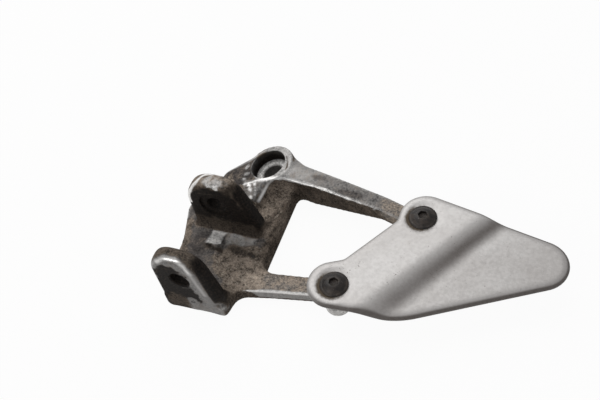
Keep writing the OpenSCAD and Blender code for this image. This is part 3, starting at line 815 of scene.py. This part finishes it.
guardFinish = {
    "satin": (0.505, 0.492, 0.478, 1), "satinWarm": (0.45, 0.433, 0.418, 1), "haze": (0.37, 0.352, 0.335, 1),
    # the dull brown after the speck colour is for painted shade and the rim's nicks
    "speck": (0.10, 0.088, 0.078, 1), "shadeAndNicks": (0.085, 0.073, 0.066, 1), "soil": (0.085, 0.066, 0.046, 1),
    "cloudScale": 45, "fineScale": 650, "speckScale": 1300,
    "shadeSwing": 0.16, "soilSwing": 0.9,
    "warmed": (0.3, 0.7), "hazy": (0.35, 0.75, 0, 0.22), "specked": (0.735, 0.78, 0, 0.75),
    "metallic": 0.55, "gloss": 0.25,
}

guardPaint = {
    # all lengths in mm
    "waverLumps": (2.5, 0.9), "wideLumps": 18.0,
    "grimeRadius": 7.3, "grimeWidth": 1.7,       # round each screw head
    # painted shade in the crease, round the edge, beyond the crease and at the tip
    "creaseMiddle": 2.6, "creaseReach": 5.4, "creaseShade": 0.72,
    "edgeShade": {"front": 0.92, "right": 0.88, "back": 1.0, "left": 0.16}, "edgeTilt": (0.02, 0.17),
    "farShade": 0.12, "farMore": 0.07,         # beyond the crease, and towards the tip
    "tip": (146.0, -27.5), "tipReach": (6.5, 14.5), "tipShade": 0.5,
    "nicks": ((98.0, -69.4, 15.6), (100.4, -68.2, 15.6)), "nickReach": (0.5, 1.1),
    "pits": ((56.9, -55.9), (61.6, -58.2), (65.2, -62.9)), "pitReach": (1.2, 3.6),   # round the lower screw
    "streaks": (((112, -24), (104.5, -38.4), (98, -52)), ((66, -50.5), (65, -52.5)), ((84.7, -50.9), (80.7, -57.1))),
    "streakWidth": 3.0,
}


def paintGuard(piece, g, p):
    places, normals = meshArrays(piece.data)
    x, y, z = (places / mm).T
    lumps, small = p["waverLumps"]
    waver = wobble(places, lumps, 5) + 0.5 * wobble(places, small, 6)
    wide = wobble(places, p["wideLumps"], 7)
    up = np.clip(normals[:, 2] * 2, 0, 1)
    soil = np.zeros(len(x))
    for sx, sy in g["dishes"]:
        away = np.hypot(x - sx, y - sy)
        # grime hugs each screw head, most on its left and below it
        side = ((sx - x) + 0.8 * (sy - y)) / np.maximum(away, 0.1)
        ring = np.clip(1 - (away - p["grimeRadius"] - 0.5 * side + 0.3 * waver) / p["grimeWidth"], 0, 1)
        soil = np.maximum(soil, ring * np.clip(0.5 + 0.45 * side, 0.12, 1))
    # painted shade in the crease
    slant = math.radians(g["creaseAngle"])
    fx, fy = g["creaseFoot"]
    across = (x - fx) * math.sin(slant) - (y - fy) * math.cos(slant)
    along = (x - fx) * math.cos(slant) + (y - fy) * math.sin(slant)
    reach = p["creaseReach"] * (1.12 - 0.3 * ramp(along, 5, 55))
    shadeAndNicks = p["creaseShade"] * np.exp(-((across - p["creaseMiddle"] + 0.5 * wide) / reach) ** 2)
    shadeAndNicks = shadeAndNicks * (0.55 + 0.45 * ramp(along, -3, 12) + 0.2 * ramp(along, 25, 50))
    # painted shade round the edge, by the way that it faces
    level = np.maximum(np.hypot(normals[:, 0], normals[:, 1]), 1e-6)
    nx, ny = normals[:, 0] / level, normals[:, 1] / level
    e = p["edgeShade"]
    sides = e["front"] * np.clip(-ny, 0, 1) ** 2
    sides = sides + e["back"] * np.clip(ny, 0, 1) ** 2 * (0.35 + 0.65 * ramp(x, 92, 125))
    sides = sides + e["right"] * np.clip(nx, 0, 1) ** 2 + e["left"] * np.clip(-nx, 0, 1) ** 2
    tilt = ramp(1 - normals[:, 2], *p["edgeTilt"])
    shadeAndNicks = np.maximum(shadeAndNicks, sides * tilt * tilt * (3 - 2 * tilt))
    # painted shade at the far end of the tip
    tip = ramp(np.hypot(x - p["tip"][0], y - p["tip"][1]), *p["tipReach"]) * ramp(x, 140, 152)
    shadeAndNicks = np.maximum(shadeAndNicks, p["tipShade"] * tip ** 1.5)
    # painted shade beyond the crease, growing towards the tip
    beyond = (p["farShade"] + 0.03 * wide) * ramp(across, 0, 14) + p["farMore"] * ramp(x, 105, 150)
    shadeAndNicks = np.maximum(shadeAndNicks, beyond)
    # nicks in the rim, which are real marks, go in with the painted shade
    inner, outer = p["nickReach"]
    for nick in p["nicks"]:
        away = np.sqrt(((places / mm - np.array(nick)) ** 2).sum(1))
        shadeAndNicks = np.maximum(shadeAndNicks, ramp(-away, -outer, -inner))
    speckle = 0.25 * ramp(wide, 0, 1)
    flat = np.column_stack((x, y, 0 * z))
    inner, outer = p["pitReach"]
    for px, py in p["pits"]:
        speckle = np.maximum(speckle, ramp(-np.hypot(x - px, y - py), -outer, -inner))
    for streak in p["streaks"]:
        points = [(sx, sy, 0) for sx, sy in streak]
        speckle = np.maximum(speckle, ramp(lineReach(flat, points, p["streakWidth"]), -1.2, 0.8))
    setPaint(piece.data, "soil", soil * up)
    setPaint(piece.data, "shadeAndNicks", shadeAndNicks)
    setPaint(piece.data, "speckle", speckle * up)


guardMetal = guardMaterial(guardFinish)
guard = newPiece("heelGuard", guardOutline(guardForm))
runTree(guard, guardTree(guardForm), Material=guardMetal)
outwards(guard.data)
paintGuard(guard, guardForm, guardPaint)
guard.data.shade_smooth()
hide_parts("heel_guard")
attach(guard, "root")
print("guard:", len(guard.data.polygons), "faces")


# the guard's screws, set on their seats by Geometry Nodes

screwForm = {
    "seats": castingForm["screws"], "turns": (35.0, 8.0),    # in degrees
    "seatZ": 18.24, "length": 12.0, "shank": 3.0,
    "flange": 7.0, "flangeHeight": 1.2, "button": 5.8, "height": 3.4,
    "socket": 4.0, "socketDepth": 2.2, "socketRim": 2.9,
    "sides": 48, "domeSteps": 9,
}


def screwMesh(s):
    def hexagon(angle):
        return s["socket"] / 2 / math.cos((angle + math.pi / 6) % (math.pi / 3) - math.pi / 6)

    crown = s["height"] - s["flangeHeight"]
    dome = (s["button"] ** 2 + crown ** 2) / (2 * crown)
    rings = [(s["shank"] - 0.7, -s["length"]), (s["shank"], 0.7 - s["length"]), (s["shank"], 0),
             (s["flange"] - 0.35, 0), (s["flange"] - 0.05, 0.2), (s["flange"], 0.5),
             (s["flange"] - 0.25, 0.85), (s["flange"] - 0.75, 1.05), (s["button"] + 0.15, s["flangeHeight"] - 0.05)]
    for i in range(s["domeSteps"]):
        radius = s["button"] - (s["button"] - s["socketRim"]) * i / (s["domeSteps"] - 1)
        rings.append((radius, s["height"] - dome + math.sqrt(dome ** 2 - radius ** 2)))
    top = rings[-1][1] + 0.06
    rings += [(lambda angle: hexagon(angle) + 0.22, top), (hexagon, top - 0.22),
              (hexagon, s["height"] - s["socketDepth"]), (0.5, s["height"] - s["socketDepth"] - 0.5)]
    skin = bmesh.new()
    ringSkin(skin, rings, s["sides"])
    bmesh.ops.recalc_face_normals(skin, faces=skin.faces)
    mesh = bpy.data.meshes.new("guardScrew")
    skin.to_mesh(mesh)
    skin.free()
    return mesh


def screwTree():
    tree, given = startTree("screwsOnSeats", [("Screw", "Object", None)])
    screw = addNode(tree, "GeometryNodeObjectInfo", {"Object": given["Screw"]}).outputs["Geometry"]
    turn = addNode(tree, "GeometryNodeInputNamedAttribute", {"Name": "turn"}, data_type="FLOAT").outputs[0]
    aim = addNode(tree, "ShaderNodeCombineXYZ", {2: turn}).outputs[0]
    turned = addNode(tree, "FunctionNodeEulerToRotation", {0: aim}).outputs[0]
    spots = {"Points": given["Geometry"], "Instance": screw, "Rotation": turned}
    placed = addNode(tree, "GeometryNodeInstanceOnPoints", spots).outputs[0]
    endTree(tree, placed, given["Material"])
    return tree


def screwMaterial(m):
    material, tree, shader = newMaterial("black_steel")
    place = addNode(tree, "ShaderNodeTexCoord").outputs["Object"]
    cloud = grain(tree, place, m["cloudScale"], 4, 0.6)
    fine = grain(tree, place, m["fineScale"], 3, 0.6)
    colour = blendColour(tree, stretch(tree, cloud, *m["browned"]), m["black"], m["brown"])
    colour = blendColour(tree, stretch(tree, fine, *m["rubbed"]), colour, m["rub"])
    plug(tree, shader.inputs["Base Color"], colour)
    shader.inputs["Metallic"].default_value = m["metallic"]
    plug(tree, shader.inputs["Roughness"], stretch(tree, cloud, 0.3, 0.7, 0.34, 0.55))
    addRelief(tree, shader, fine, 0.25, 0.1)
    return material


screwFinish = {
    "black": (0.020, 0.018, 0.017, 1), "brown": (0.050, 0.040, 0.033, 1), "rub": (0.16, 0.145, 0.13, 1),
    "cloudScale": 260, "fineScale": 1100, "browned": (0.35, 0.7), "rubbed": (0.6, 0.8, 0, 0.6),
    "metallic": 0.55,
}


def buildScrews(s):
    one = newPiece("guardScrew", screwMesh(s))
    seats = bpy.data.meshes.new("guardScrews")
    seats.from_pydata([(x * mm, y * mm, s["seatZ"] * mm) for x, y in s["seats"]], [], [])
    turns = seats.attributes.new("turn", "FLOAT", "POINT")
    turns.data.foreach_set("value", [math.radians(turn) for turn in s["turns"]])
    screws = newPiece("guardScrews", seats)
    runTree(screws, screwTree(), Screw=one, Material=screwMaterial(screwFinish))
    bpy.data.objects.remove(one)
    return screws


screws = buildScrews(screwForm)
screws.data.shade_smooth()
screws.data.set_sharp_from_angle(angle=math.radians(35))
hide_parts("upper_guard_screw", "lower_guard_screw")
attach(screws, "root")
print("screws:", len(screws.data.polygons), "faces")


# floor, lamps and world

studio = {
    "floorZ": -2.98, "floorSize": 14000.0,
    "floorColour": (0.62, 0.61, 0.60, 1), "floorRough": 0.9, "floorShown": 0.95,
    "lampPlace": (-435, 465, 850), "lampAim": (60, -30, 0), "lampSize": 1500, "lampPower": 8.9,
    "edgeLampPlace": (-400, -820, 560), "edgeLampSize": 350, "edgeLampPower": 2.4,
    "worldTone": (0.48, 0.48, 0.49, 1),
}


def addLamp(name, place, aim, size, power):
    light = bpy.data.lights.new(name, "AREA")
    light.shape = "DISK"
    light.size = size * mm
    light.energy = power
    lamp = bpy.data.objects.new(name, light)
    lamp.location = Vector(place) * mm
    lamp.rotation_euler = (Vector(aim) - Vector(place)).to_track_quat("-Z", "Y").to_euler()
    bpy.context.scene.collection.objects.link(lamp)


def buildStudio(t):
    mesh = bpy.data.meshes.new("floor")
    half, z = t["floorSize"] / 2 * mm, t["floorZ"] * mm
    mesh.from_pydata([(-half, -half, z), (half, -half, z), (half, half, z), (-half, half, z)], [], [(0, 1, 2, 3)])
    floor = newPiece("floor", mesh)
    material, tree, shader = newMaterial("floorPaper")
    shader.inputs["Base Color"].default_value = t["floorColour"]
    shader.inputs["Roughness"].default_value = t["floorRough"]
    glow = addNode(tree, "ShaderNodeEmission", {"Color": (1, 1, 1, 1), "Strength": 1.0}).outputs[0]
    rays = addNode(tree, "ShaderNodeLightPath").outputs
    seen = sums(tree, "MAXIMUM", rays["Is Camera Ray"], rays["Is Glossy Ray"])
    seen = sums(tree, "MAXIMUM", seen, rays["Is Transmission Ray"])
    factor = sums(tree, "MULTIPLY", seen, t["floorShown"])
    both = addNode(tree, "ShaderNodeMixShader", {0: factor, 1: shader.outputs[0], 2: glow}).outputs[0]
    plug(tree, tree.nodes["Material Output"].inputs["Surface"], both)
    mesh.materials.append(material)

    addLamp("softLamp", t["lampPlace"], t["lampAim"], t["lampSize"], t["lampPower"])
    addLamp("edgeLamp", t["edgeLampPlace"], t["lampAim"], t["edgeLampSize"], t["edgeLampPower"])

    world = bpy.data.worlds.new("studioAir")
    bpy.context.scene.world = world
    world.use_nodes = True
    world.node_tree.nodes["Background"].inputs[0].default_value = t["worldTone"]
    world.node_tree.nodes["Background"].inputs[1].default_value = 1.0
    bpy.context.scene.view_settings.view_transform = "Standard"


buildStudio(studio)
print("studio set")
